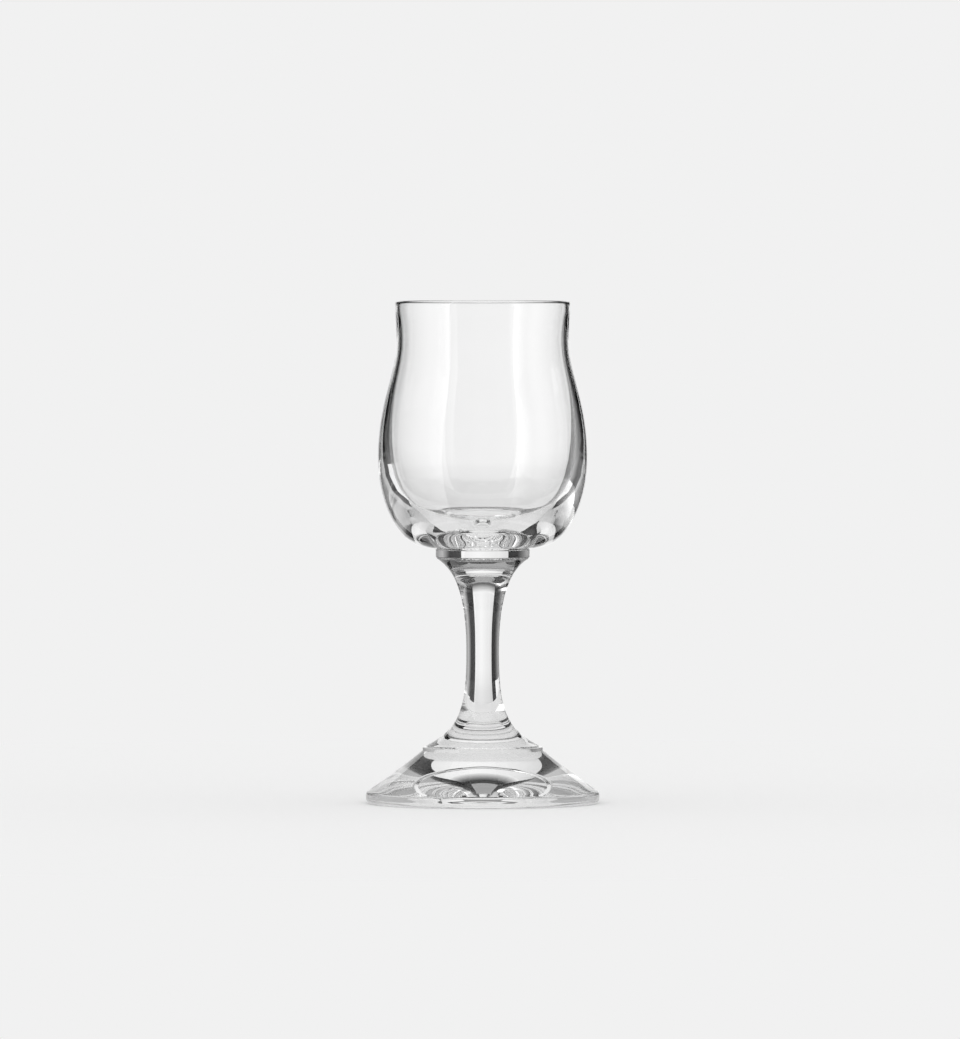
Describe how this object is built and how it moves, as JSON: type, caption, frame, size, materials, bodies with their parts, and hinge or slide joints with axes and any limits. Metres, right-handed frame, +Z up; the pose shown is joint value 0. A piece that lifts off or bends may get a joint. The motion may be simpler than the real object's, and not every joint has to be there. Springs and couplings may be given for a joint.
{
  "type": "vodka glass",
  "caption": "Small stemmed vodka glass in clear glass: tulip bowl with a heavy base, flat collar, flared solid stem and stepped cone foot.",
  "frame": {"origin": "on the table plane, under the middle of the foot", "axes": "+Z up along the glass's axis of revolution, from the foot to the rim"},
  "size_m": [0.0522, 0.0522, 0.112],
  "materials": {
    "bowl_glass": "clear, blown and fire-polished",
    "collar_glass": "clear, pressed",
    "stem_glass": "clear, drawn and fire-polished",
    "foot_glass": "clear, pressed, ground underneath"
  },
  "bodies": {
    "root": {"bowl": "bowl_glass", "collar": "collar_glass", "stem": "stem_glass", "foot": "foot_glass"}
  },
  "joints": []
}
